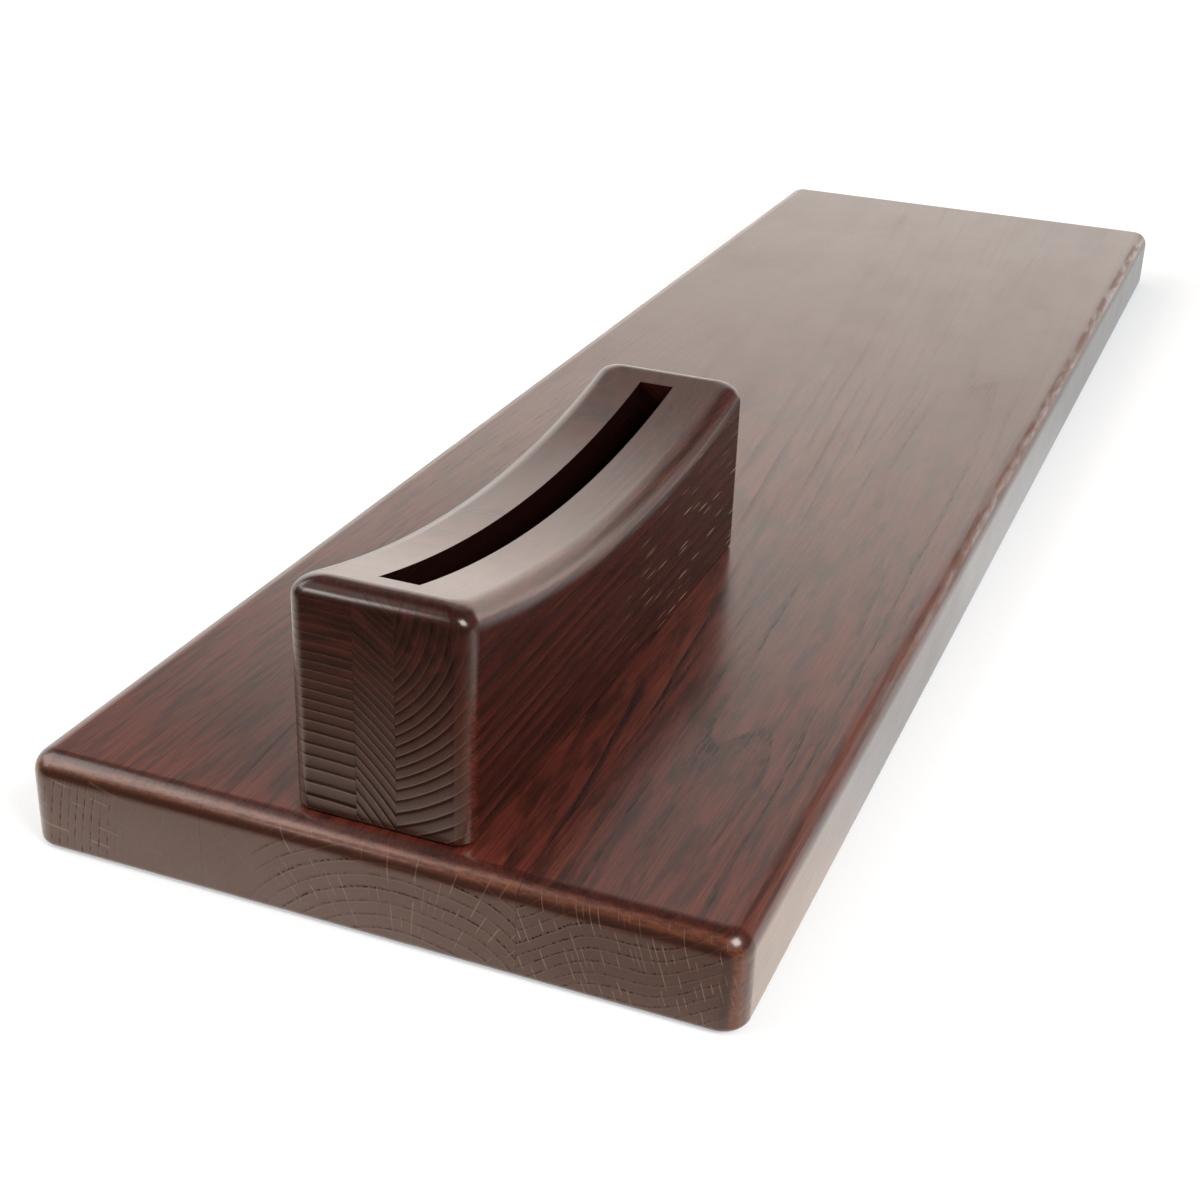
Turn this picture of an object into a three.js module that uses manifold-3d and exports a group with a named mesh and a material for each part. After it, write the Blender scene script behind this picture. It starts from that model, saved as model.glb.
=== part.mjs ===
// Hatchet display stand: an edge-glued oak board that carries a slotted oak cradle.
// The hatchet's cutting edge stands in the cradle's slot and its handle rests on the board.
// Millimetres, +Z up. The origin is the middle of the board's underside, the cradle is near
// the -Y end, and the board's length runs along Y.

import * as THREE from 'three';
import { mergeVertices } from 'three/addons/utils/BufferGeometryUtils.js';
import Module from 'manifold-3d';

// Driving dimensions of the board

const boardLength = 508;
const boardWidth = 145;
const boardThickness = 20;
const boardTopRound = 4.7;
const boardCornerRadius = 5.4;
const boardTopCornerRadius = 1;
const boardBottomEase = 1.5;
const leftStaveWidth = 39;
const middleStaveWidth = 64;

// Driving dimensions of the cradle, heights above the board's top

const cradleLength = 148;
const cradleFrontMargin = 5.5;
const cradleSideOffset = 1;
const cradleLowHeight = 35.3;
const cradleArcRadius = 290;
const cradleArcLowFromFront = 84.5;
const cradleTopRound = 5.1;
const cradleCornerRadius = 4;
const cradleTopCornerRadius = 1.5;
const cradleBottomEase = 2;

// Plies of the cradle: the core is as thick as the slot is wide

const leftCheekThickness = 13.5;
const slotWidth = 8;
const rightCheekThickness = 14.5;
const slotFrontWall = 10;
const slotRearWall = 10;
const slotFloorHeight = 14;

// Countersunk wood screws, driven up through the board into the core

const screwLength = 30;
const screwShankDiameter = 4;
const screwHeadDiameter = 8;
const screwHeadEdge = 0.4;
const screwTipLength = 6;
const screwTipDiameter = 0.6;
const screwRecess = 0.6;
const screwEndInset = 36;
const driveWidth = 4.4;
const driveSlotThickness = 1;
const driveDepth = 2.2;
const driveTaper = 0.45;
const holeClearance = 0.3;
const pilotEndGap = 1.5;

// Facets

const roundSteps = 8;
const easeSteps = 3;
const cornerSteps = 8;
const arcSteps = 30;
const turnedSteps = 32;
const weldDistance = 1e-4;

// Places worked out from the dimensions

const boardHalf = { x: boardWidth / 2, y: boardLength / 2 };
const leftSeam = -boardHalf.x + leftStaveWidth;
const rightSeam = leftSeam + middleStaveWidth;
const cradleWidth = leftCheekThickness + slotWidth + rightCheekThickness;
const cradleFront = -boardHalf.y + cradleFrontMargin;
const cradleLeft = cradleSideOffset - cradleWidth / 2;
const slotLeft = cradleLeft + leftCheekThickness;
const slotRight = slotLeft + slotWidth;
const slotFront = cradleFront + slotFrontWall;
const slotRear = cradleFront + cradleLength - slotRearWall;
const slotFloor = boardThickness + slotFloorHeight;
const arcLow = cradleFront + cradleArcLowFromFront;
const screwX = (slotLeft + slotRight) / 2;
const screwFrontY = cradleFront + screwEndInset;
const screwRearY = cradleFront + cradleLength - screwEndInset;

// Height of the cradle's hollowed top above the underside of the board

function cradleTop(y) {
  const run = y - arcLow;
  const rise = cradleArcRadius - Math.sqrt(cradleArcRadius ** 2 - run ** 2);
  return boardThickness + cradleLowHeight + rise;
}

const wasm = await Module();
wasm.setup();

function toSolid(geometry) {
  const bare = geometry.clone();
  bare.deleteAttribute('normal');
  bare.deleteAttribute('uv');
  const merged = mergeVertices(bare, weldDistance);
  const mesh = new wasm.Mesh({
    numProp: 3,
    vertProperties: new Float32Array(merged.attributes.position.array),
    triVerts: new Uint32Array(merged.index.array),
  });
  return new wasm.Manifold(mesh);
}

function toGeometry(solid) {
  const mesh = solid.getMesh();
  const geometry = new THREE.BufferGeometry();
  geometry.setAttribute('position', new THREE.BufferAttribute(mesh.vertProperties, 3));
  geometry.setIndex(new THREE.BufferAttribute(mesh.triVerts, 1));
  geometry.computeVertexNormals();
  return geometry;
}

// Right half of a rounded rectangle from front to rear, as [half width, y] points. The side
// between the corners is divided so that it can follow a curved top.

function halfOutline(halfWidth, front, rear, corner, sideSteps) {
  const points = [];
  for (let i = 0; i <= cornerSteps; i += 1) {
    const angle = (i / cornerSteps) * (Math.PI / 2);
    points.push([
      halfWidth - corner + corner * Math.sin(angle),
      front + corner - corner * Math.cos(angle),
    ]);
  }
  for (let i = 1; i < sideSteps; i += 1) {
    points.push([halfWidth, front + corner + (i / sideSteps) * (rear - front - 2 * corner)]);
  }
  for (let i = 0; i <= cornerSteps; i += 1) {
    const angle = (i / cornerSteps) * (Math.PI / 2);
    points.push([
      halfWidth - corner + corner * Math.cos(angle),
      rear - corner + corner * Math.sin(angle),
    ]);
  }
  return points;
}

// A blank with upright sides, rounded top and upright edges and an eased lower edge, skinned
// over rings. Each ring is the outline drawn in by an inset, at its own height. The corners
// tighten towards the top face, as a round-over bit and sanding leave them.

function roundedBlank(blank) {
  const rings = [];
  const addRing = (inset, corner, height) => {
    const half = halfOutline(
      blank.halfWidth - inset, blank.front + inset, blank.rear - inset, corner, blank.sideSteps,
    );
    rings.push(half.map(([x, y]) => [x, y, height(y)]));
  };
  for (let i = 0; i <= easeSteps; i += 1) {
    const angle = (i / easeSteps) * (Math.PI / 2);
    const inset = blank.ease * (1 - Math.sin(angle));
    const lift = blank.ease * (1 - Math.cos(angle));
    addRing(inset, Math.max(blank.corner - inset, blank.topCorner), () => blank.bottom + lift);
  }
  for (let i = 0; i <= roundSteps; i += 1) {
    const angle = (i / roundSteps) * (Math.PI / 2);
    const inset = blank.round * (1 - Math.cos(angle));
    const drop = blank.round * (1 - Math.sin(angle));
    const share = inset / blank.round;
    const corner = blank.corner + share * (blank.topCorner - blank.corner);
    addRing(inset, corner, (y) => blank.top(y) - drop);
  }

  const half = rings[0].length;
  const positions = [];
  for (const ring of rings) {
    for (const [x, y, z] of ring) positions.push(blank.centre + x, y, z);
    for (const [x, y, z] of [...ring].reverse()) positions.push(blank.centre - x, y, z);
  }
  const around = 2 * half;
  const faces = [];
  for (let ring = 0; ring < rings.length - 1; ring += 1) {
    for (let i = 0; i < around; i += 1) {
      const a = ring * around + i;
      const b = ring * around + ((i + 1) % around);
      faces.push(a, b, b + around, a, b + around, a + around);
    }
  }
  const topStart = (rings.length - 1) * around;
  for (let i = 0; i < half - 1; i += 1) {
    const mirrored = around - 1 - i;
    faces.push(mirrored, mirrored - 1, i + 1, mirrored, i + 1, i);
    faces.push(topStart + i, topStart + i + 1, topStart + mirrored - 1);
    faces.push(topStart + i, topStart + mirrored - 1, topStart + mirrored);
  }
  const geometry = new THREE.BufferGeometry();
  geometry.setAttribute('position', new THREE.Float32BufferAttribute(positions, 3));
  geometry.setIndex(faces);
  return geometry;
}

// Part of a solid between two upright planes across X, as a saw would leave it

function slice(solid, left, right) {
  const reach = boardLength + cradleArcRadius;
  const box = new THREE.BoxGeometry(right - left, 2 * reach, 2 * reach);
  box.translate((left + right) / 2, 0, 0);
  return solid.intersect(toSolid(box));
}

// A screw, or with a clearance the hole that takes it: point up, head at the foot

function screwProfile(clearance, tipGap) {
  const head = screwHeadDiameter / 2 + clearance;
  const shank = screwShankDiameter / 2 + clearance;
  const tip = screwTipDiameter / 2 + clearance;
  const edge = screwHeadEdge + clearance;
  return [
    [0, 0],
    [head, 0],
    [head, edge],
    [shank, edge + head - shank],
    [shank, screwLength - screwTipLength + tipGap],
    [tip, screwLength + tipGap],
    [0, screwLength + tipGap],
  ].map(([radius, height]) => new THREE.Vector2(radius, height));
}

function turned(profile) {
  const geometry = new THREE.LatheGeometry(profile, turnedSteps);
  geometry.rotateX(Math.PI / 2);
  return geometry;
}

// The tapered cross recess for the driver, sunk into the head's flat

function driveCross() {
  const wing = () => {
    const shape = new THREE.CylinderGeometry(1, driveTaper, driveDepth, 4);
    shape.rotateY(Math.PI / 4);
    shape.scale(Math.SQRT1_2 * driveWidth, 1, Math.SQRT1_2 * driveSlotThickness);
    shape.rotateX(-Math.PI / 2);
    return shape;
  };
  const first = wing();
  const second = wing();
  second.rotateZ(Math.PI / 2);
  return toSolid(first).add(toSolid(second)).translate([0, 0, driveDepth / 2 - screwHeadEdge / 2]);
}

function screwHole(y) {
  const hole = turned(screwProfile(holeClearance, pilotEndGap));
  hole.translate(screwX, y, screwRecess);
  const mouth = new THREE.CylinderGeometry(
    screwHeadDiameter / 2 + holeClearance, screwHeadDiameter / 2 + holeClearance,
    2 * screwRecess, turnedSteps,
  );
  mouth.rotateX(Math.PI / 2);
  mouth.translate(screwX, y, screwRecess / 2);
  return toSolid(hole).add(toSolid(mouth));
}

const screwHoles = screwHole(screwFrontY).add(screwHole(screwRearY));

// Board: one rounded slab, parted into staves at its glue lines

const boardSlab = toSolid(roundedBlank({
  centre: 0,
  halfWidth: boardHalf.x,
  front: -boardHalf.y,
  rear: boardHalf.y,
  bottom: 0,
  top: () => boardThickness,
  corner: boardCornerRadius,
  topCorner: boardTopCornerRadius,
  round: boardTopRound,
  ease: boardBottomEase,
  sideSteps: 1,
}));

// Cradle: one rounded block with a hollowed top, parted into plies at its glue lines

const cradleBlock = toSolid(roundedBlank({
  centre: cradleSideOffset,
  halfWidth: cradleWidth / 2,
  front: cradleFront,
  rear: cradleFront + cradleLength,
  bottom: boardThickness,
  top: cradleTop,
  corner: cradleCornerRadius,
  topCorner: cradleTopCornerRadius,
  round: cradleTopRound,
  ease: cradleBottomEase,
  sideSteps: arcSteps,
}));

function slotCutter() {
  const height = cradleTop(cradleFront) + cradleArcRadius;
  const cutter = new THREE.BoxGeometry(2 * slotWidth, slotRear - slotFront, height);
  cutter.translate(screwX, (slotFront + slotRear) / 2, slotFloor + height / 2);
  return toSolid(cutter);
}

const oak = { roughness: 0.32, metalness: 0 };
const leftStaveOak = new THREE.MeshStandardMaterial({ color: 0x5b3a33, ...oak });
const middleStaveOak = new THREE.MeshStandardMaterial({ color: 0x54302b, ...oak });
const rightStaveOak = new THREE.MeshStandardMaterial({ color: 0x5a3730, ...oak });
const cheekOak = new THREE.MeshStandardMaterial({ color: 0x4c2a27, ...oak });
const coreOak = new THREE.MeshStandardMaterial({ color: 0x46241f, ...oak });
const screwSteel = new THREE.MeshStandardMaterial({
  color: 0xb9a06a, roughness: 0.35, metalness: 0.9,
});

function piece(name, solid, material) {
  const mesh = new THREE.Mesh(toGeometry(solid), material);
  mesh.name = name;
  return mesh;
}

const board = new THREE.Group();
board.add(piece(
  'board_stave_left', slice(boardSlab, -boardWidth, leftSeam), leftStaveOak,
));
board.add(piece(
  'board_stave_middle', slice(boardSlab, leftSeam, rightSeam).subtract(screwHoles), middleStaveOak,
));
board.add(piece(
  'board_stave_right', slice(boardSlab, rightSeam, boardWidth), rightStaveOak,
));

const cradle = new THREE.Group();
cradle.add(piece(
  'cradle_cheek_left', slice(cradleBlock, cradleLeft - cradleWidth, slotLeft), cheekOak,
));
cradle.add(piece(
  'cradle_core',
  slice(cradleBlock, slotLeft, slotRight).subtract(slotCutter()).subtract(screwHoles),
  coreOak,
));
cradle.add(piece(
  'cradle_cheek_right', slice(cradleBlock, slotRight, slotRight + cradleWidth), cheekOak,
));

const screwSolid = toSolid(turned(screwProfile(0, 0))).subtract(driveCross());
const screws = new THREE.Group();
for (const [name, y] of [['cradle_screw_front', screwFrontY], ['cradle_screw_rear', screwRearY]]) {
  const screw = piece(name, screwSolid, screwSteel);
  screw.position.set(screwX, y, screwRecess);
  screws.add(screw);
}

const stand = new THREE.Group();
stand.name = 'hatchet_display_stand';
stand.add(board, cradle, screws);

export default stand;
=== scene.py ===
"""Hatchet display stand: the looks of an oak board and its slotted cradle.

Metres, +Z up. The board lies along Y, and the cradle stands near its front end, at -Y.
"""

import math
from functools import cache
from types import SimpleNamespace

import bmesh
import bpy
from bpy.props import FloatProperty, FloatVectorProperty, IntProperty, PointerProperty
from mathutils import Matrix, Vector


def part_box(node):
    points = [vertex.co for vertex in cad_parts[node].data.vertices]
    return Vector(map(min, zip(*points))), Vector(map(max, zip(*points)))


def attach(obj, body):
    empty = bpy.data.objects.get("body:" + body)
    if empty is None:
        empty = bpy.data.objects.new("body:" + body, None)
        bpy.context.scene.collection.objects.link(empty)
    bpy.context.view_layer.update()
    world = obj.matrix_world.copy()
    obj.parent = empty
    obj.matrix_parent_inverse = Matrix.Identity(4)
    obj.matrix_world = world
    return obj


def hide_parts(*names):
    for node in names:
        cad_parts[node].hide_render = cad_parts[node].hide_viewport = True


bl_info = {
    "name": "Hatchet display stand",
    "version": (1, 0, 0),
    "blender": (4, 5, 0),
    "location": "View3D > Sidebar > Stand",
    "description": "Builds a stained oak hatchet stand around its measured frame",
    "category": "Object",
}

MM = 0.001

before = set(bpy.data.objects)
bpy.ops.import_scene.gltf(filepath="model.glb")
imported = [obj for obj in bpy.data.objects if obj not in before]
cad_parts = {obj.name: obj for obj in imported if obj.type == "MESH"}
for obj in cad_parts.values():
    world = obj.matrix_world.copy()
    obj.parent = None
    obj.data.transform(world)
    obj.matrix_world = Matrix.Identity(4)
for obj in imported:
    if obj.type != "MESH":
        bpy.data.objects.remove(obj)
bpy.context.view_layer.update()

BOARD_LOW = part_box("board_stave_left")[0]
BOARD_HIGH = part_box("board_stave_right")[1]
LEFT_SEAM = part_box("board_stave_middle")[0].x
RIGHT_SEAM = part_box("board_stave_middle")[1].x
CRADLE_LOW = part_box("cradle_cheek_left")[0]
CRADLE_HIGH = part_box("cradle_cheek_right")[1]
SLOT_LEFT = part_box("cradle_core")[0].x
SLOT_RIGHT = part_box("cradle_core")[1].x
SCREWS = (("screw_front", "cradle_screw_front"), ("screw_rear", "cradle_screw_rear"))

# HAIR tells equal places apart. SMOOTH_ANGLE is the sharpest turn that is shaded as smooth

HAIR = 0.01 * MM
SMOOTH_ANGLE = math.radians(32)
FLOOR_WIDTH = 12.0
FLOOR_DROP = 0.2 * MM

# The glued pieces: name, node of the frame, left and right saw cut. FAR lies past every piece

FAR = 1000 * MM
STAVES = (("stave_left", "board_stave_left", -FAR, LEFT_SEAM),
          ("stave_middle", "board_stave_middle", LEFT_SEAM, RIGHT_SEAM),
          ("stave_right", "board_stave_right", RIGHT_SEAM, FAR))
PLIES = (("ply_left", "cradle_cheek_left", -FAR, SLOT_LEFT),
         ("ply_core", "cradle_core", SLOT_LEFT, SLOT_RIGHT),
         ("ply_right", "cradle_cheek_right", SLOT_RIGHT, FAR))

# The photographer's camera: lens in millimetres, place in metres, turn in degrees

LENS = {"lens": 56.19, "sensor_width": 36.0, "shift_x": -0.0147, "shift_y": 0.0071,
        "clip_start": 0.01, "clip_end": 100.0}
CAMERA_PLACE = (0.13875, -0.49886, 0.20645)
CAMERA_TURN = (63.590, -2.131, 21.609)

# Colours of the studio and of the screws' plating

LAMP_WARMTH = (1.0, 0.95, 0.89)
SKY_WARMTH = (1.04, 0.965, 0.885, 1)
WHITE = (1, 1, 1, 1)
PAPER = (0.62, 0.60, 0.58, 1)
PAPER_GLOW = (0.90, 1.0, 1.09, 1)
PAPER_MIRRORED_WARM = (1.04, 0.94, 0.84, 1)
PAPER_MIRRORED_COOL = (0.98, 1.0, 0.98, 1)
ZINC_YELLOW = (0.62, 0.44, 0.17, 1)
ZINC_GREY = (0.52, 0.42, 0.30, 1)


# Sizes and colours that a user would change


class BoardSizes(bpy.types.PropertyGroup):
    """Sizes of the board's edges."""

    top_round: FloatProperty(
        name="Top round", description="Radius of the round along the top edges",
        default=4.7 * MM, unit="LENGTH")
    corner_radius: FloatProperty(
        name="Corner radius", description="Radius of the four upright corners",
        default=5.4 * MM, unit="LENGTH")
    bottom_ease: FloatProperty(
        name="Bottom ease", description="Radius of the eased lower edges",
        default=1.5 * MM, unit="LENGTH")


class CradleSizes(bpy.types.PropertyGroup):
    """Sizes of the cradle's hollow, edges and slot."""

    top_round: FloatProperty(
        name="Top round", description="Radius of the round along the top edges",
        default=5.1 * MM, unit="LENGTH")
    corner_radius: FloatProperty(
        name="Corner radius", description="Radius of the four upright corners",
        default=4 * MM, unit="LENGTH")
    bottom_ease: FloatProperty(
        name="Bottom ease", description="Radius of the eased lower edges",
        default=1 * MM, unit="LENGTH")
    hollow_radius: FloatProperty(
        name="Hollow radius", description="Radius of the arc that hollows the top",
        default=290 * MM, unit="LENGTH")
    low_height: FloatProperty(
        name="Low height", description="Height of the hollow's lowest place above the board",
        default=35.28 * MM, unit="LENGTH")
    low_from_front: FloatProperty(
        name="Low place", description="Distance of the lowest place from the front end",
        default=84.5 * MM, unit="LENGTH")
    slot_end_wall: FloatProperty(
        name="Slot end wall", description="Wood left at each end of the slot",
        default=10 * MM, unit="LENGTH")
    slot_floor: FloatProperty(
        name="Slot floor", description="Height of the slot's floor above the board",
        default=14 * MM, unit="LENGTH")


class ScrewSizes(bpy.types.PropertyGroup):
    """Sizes of the two countersunk wood screws."""

    head_edge: FloatProperty(
        name="Head edge", description="Height of the head's upright edge",
        default=0.4 * MM, unit="LENGTH")
    shank_radius: FloatProperty(
        name="Shank radius", description="Radius of the plain shank and of the thread",
        default=2 * MM, unit="LENGTH")
    core_radius: FloatProperty(
        name="Core radius", description="Radius between the thread's turns",
        default=1.35 * MM, unit="LENGTH")
    shank_length: FloatProperty(
        name="Shank length", description="Height at which the thread starts",
        default=10 * MM, unit="LENGTH")
    tip_length: FloatProperty(
        name="Tip length", description="Length of the pointed end",
        default=6 * MM, unit="LENGTH")
    tip_radius: FloatProperty(
        name="Tip radius", description="Radius of the blunt point",
        default=0.3 * MM, unit="LENGTH")
    pitch: FloatProperty(
        name="Pitch", description="Rise of one turn of the thread",
        default=1.8 * MM, unit="LENGTH")
    drive_width: FloatProperty(
        name="Drive width", description="Width of the cross recess",
        default=4.4 * MM, unit="LENGTH")
    drive_slot: FloatProperty(
        name="Drive slot", description="Width of each slot of the cross recess",
        default=1 * MM, unit="LENGTH")
    drive_depth: FloatProperty(
        name="Drive depth", description="Depth of the cross recess",
        default=2 * MM, unit="LENGTH")
    hole_clearance: FloatProperty(
        name="Hole clearance", description="Gap between screw and hole",
        default=0.3 * MM, unit="LENGTH")
    pilot_gap: FloatProperty(
        name="Pilot gap", description="Depth left in the hole beyond the screw's point",
        default=1.5 * MM, unit="LENGTH")


class OakColours(bpy.types.PropertyGroup):
    """Colours of the stained oak."""

    # The deep stain also paints shade: within the rings, in the slot, on the rounds' flanks and
    # on the cradle's right side.
    deep: FloatVectorProperty(
        name="Deep stain", description="Stain gathered in the early wood",
        default=(0.017, 0.005, 0.004), subtype="COLOR")
    middle: FloatVectorProperty(
        name="Middle stain", description="Stain on the late wood",
        default=(0.128, 0.025, 0.017), subtype="COLOR")
    warm: FloatVectorProperty(
        name="Warm stain", description="Thin stain over hard streaks",
        default=(0.170, 0.044, 0.023), subtype="COLOR")
    end: FloatVectorProperty(
        name="End grain stain", description="Stain on the sawn ends",
        default=(0.070, 0.027, 0.014), subtype="COLOR")
    # The ray colour also paints the highlight along each ring's lip.
    ray: FloatVectorProperty(
        name="Ray", description="Pale rays across the growth rings",
        default=(0.330, 0.230, 0.170), subtype="COLOR")
    worn: FloatVectorProperty(
        name="Sanded round", description="Thin stain on the sanded front and rear rounds",
        default=(0.200, 0.062, 0.026), subtype="COLOR")


class StandSettings(bpy.types.PropertyGroup):
    """All settings of the stand."""

    board: PointerProperty(type=BoardSizes)
    cradle: PointerProperty(type=CradleSizes)
    screw: PointerProperty(type=ScrewSizes)
    oak: PointerProperty(type=OakColours)
    facets: IntProperty(
        name="Round facets", description="Facets across each rounded edge",
        default=12, min=4, max=32)


# Shader node helpers


class NodeBench:
    """Adds and links the nodes of one material, world or node group."""

    def __init__(self, tree):
        self.tree = tree

    def node(self, kind, **settings):
        made = self.tree.nodes.new(kind)
        for name, value in settings.items():
            setattr(made, name, value)
        return made

    def feed(self, socket, value):
        if isinstance(value, bpy.types.NodeSocket):
            self.tree.links.new(value, socket)
        elif value is not None:
            socket.default_value = value

    def feed_all(self, sockets, **values):
        """Feeds sockets by name. An underscore stands for a space."""
        for name, value in values.items():
            self.feed(sockets[name.replace("_", " ")], value)

    def math(self, operation, first, second=None, third=None, clamp=False):
        made = self.node("ShaderNodeMath", operation=operation, use_clamp=clamp)
        for socket, value in zip(made.inputs, (first, second, third)):
            self.feed(socket, value)
        return made.outputs[0]

    def each(self, operation, first, *others):
        """One value out of several, taken two at a time."""
        for other in others:
            first = self.math(operation, first, other)
        return first

    def times(self, *values):
        return self.each("MULTIPLY", *values)

    def plus(self, *values):
        return self.each("ADD", *values)

    def most(self, *values):
        return self.each("MAXIMUM", *values)

    def minus(self, first, second):
        return self.math("SUBTRACT", first, second)

    def magnitude(self, value):
        return self.math("ABSOLUTE", value)

    def rest(self, share):
        """What a share leaves of one."""
        return self.math("SUBTRACT", 1.0, share)

    def line(self, value, slope, start):
        """A straight line: the value times a slope, from a start."""
        return self.math("MULTIPLY_ADD", value, slope, start)

    def smooth(self, value, low, high, to_low=0.0, to_high=1.0):
        made = self.node("ShaderNodeMapRange", interpolation_type="SMOOTHSTEP")
        for name, given in (("Value", value), ("From Min", low), ("From Max", high),
                            ("To Min", to_low), ("To Max", to_high)):
            self.feed(made.inputs[name], given)
        return made.outputs["Result"]

    def fall(self, value, low, high):
        """One below a range and nothing above it."""
        return self.smooth(value, low, high, 1.0, 0.0)

    def band(self, value, low, full, still, gone):
        """Rises from low to full, and falls from still to gone."""
        return self.times(self.smooth(value, low, full), self.fall(value, still, gone))

    def vector(self, operation, first, second=None, scale=None):
        made = self.node("ShaderNodeVectorMath", operation=operation)
        self.feed(made.inputs[0], first)
        self.feed(made.inputs[1], second)
        if scale is not None:
            self.feed(made.inputs["Scale"], scale)
        return made.outputs["Value" if operation == "LENGTH" else "Vector"]

    def combine(self, x, y, z=0.0):
        made = self.node("ShaderNodeCombineXYZ")
        for socket, value in zip(made.inputs, (x, y, z)):
            self.feed(socket, value)
        return made.outputs[0]

    def separate(self, vector):
        made = self.node("ShaderNodeSeparateXYZ")
        self.feed(made.inputs[0], vector)
        return made.outputs

    def stretch(self, vector, lengths, seed=None):
        """A place measured in a pattern's lengths along each axis, moved along X by a seed."""
        made = self.node("ShaderNodeVectorMath", operation="MULTIPLY_ADD")
        self.feed(made.inputs[0], vector)
        self.feed(made.inputs[1], [1 / length for length in lengths])
        if seed is not None:
            self.feed(made.inputs[2], self.combine(seed, 0.0))
        return made.outputs["Vector"]

    def noise(self, vector, detail=2.0, roughness=0.5):
        made = self.node("ShaderNodeTexNoise")
        self.feed_all(made.inputs, Vector=vector, Scale=1.0, Detail=detail, Roughness=roughness)
        return made.outputs["Fac"]

    def cells(self, vector, dimensions="3D"):
        made = self.node("ShaderNodeTexVoronoi", voronoi_dimensions=dimensions)
        self.feed_all(made.inputs, Vector=vector, Scale=1.0)
        return made.outputs["Distance"]

    def mix(self, share, low, high, blend="MIX"):
        made = self.node("ShaderNodeMix", data_type="RGBA", blend_type=blend)
        self.feed(made.inputs["Factor"], share)
        colours = [socket for socket in made.inputs if socket.type == "RGBA"]
        self.feed(colours[0], low)
        self.feed(colours[1], high)
        return next(socket for socket in made.outputs if socket.type == "RGBA")

    def group(self, group, **values):
        made = self.node("ShaderNodeGroup", node_tree=group)
        self.feed_all(made.inputs, **values)
        return made.outputs

    def millimetres(self):
        """The point's place on the piece, in millimetres."""
        coordinates = self.node("ShaderNodeTexCoord").outputs["Object"]
        return self.vector("SCALE", coordinates, scale=1 / MM)

    def finish(self, shader, kind="ShaderNodeOutputMaterial"):
        """Ends the tree in its output node."""
        self.feed(self.node(kind).inputs["Surface"], shader.outputs[0])


def new_material(name):
    """An empty material and the bench that fills it."""
    material = bpy.data.materials.new(name)
    material.use_nodes = True
    material.node_tree.nodes.clear()
    return material, NodeBench(material.node_tree)


def new_group(name, inputs, outputs):
    """A shader node group with named sockets. Gives its tree, bench, inputs and outputs."""
    tree = bpy.data.node_groups.new(name, "ShaderNodeTree")
    for label, default in inputs.items():
        kind = "Vector" if isinstance(default, tuple) else "Float"
        socket = tree.interface.new_socket(
            name=label, in_out="INPUT", socket_type="NodeSocket" + kind)
        socket.default_value = default
    for label in outputs:
        kind = "Color" if label == "Color" else "Float"
        tree.interface.new_socket(name=label, in_out="OUTPUT", socket_type="NodeSocket" + kind)
    bench = NodeBench(tree)
    entry = bench.node("NodeGroupInput").outputs
    leave = bench.node("NodeGroupOutput").inputs
    return tree, bench, entry, leave


# Lengths of the oak's patterns along X, Y and Z, in millimetres

SLOW_DRIFT = (38, 110, 38)
QUICK_DRIFT = (7, 26, 7)
FIBRES = (0.4, 18, 0.4)
STREAKS = (5, 90, 5)
CLOUDS = (14, 14, 14)
THIN_FILM = (12, 40, 12)
BRUSH_MARKS = (4, 2.2, 2.2)
MOTTLE = (2.6, 0.8, 0.8)
GRIT = (2.5, 15, 2.5)

# Lengths across the growth rings, along the log and round it

VESSELS = (0.5, 6, 0.75)
SMEARS = (1.5, 20, 3.5)
TINT = (3.5, 60, 9)

# Length and spacing of the flecks on a quarter-sawn side

FLECK_LENGTH = 24
FLECK_SPACING = 1.9

# Size of a group of rays along the log and across its rings, and over what lengths along the
# log, across the rings and round the log the figure changes

RAY_LENGTH = 14
RAY_DEPTH = 5
CHANGE_ALONG = 60
CHANGE_ACROSS = 6
CHANGE_ROUND = 9

# Steps through a noise from one ring to the next and from one ray to the next

RING_STEP = 0.77
RING_SIDE_STEP = 0.31
RAY_STEP = 3.7

# Where the board's front end lies, and the place from which a pith's distance is taken

FRONT_END = BOARD_LOW.y / MM
MID_BOARD = (0.0, 0.0, 12.0)


# Node groups shared by the oak materials. Their lengths are millimetres


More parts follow.
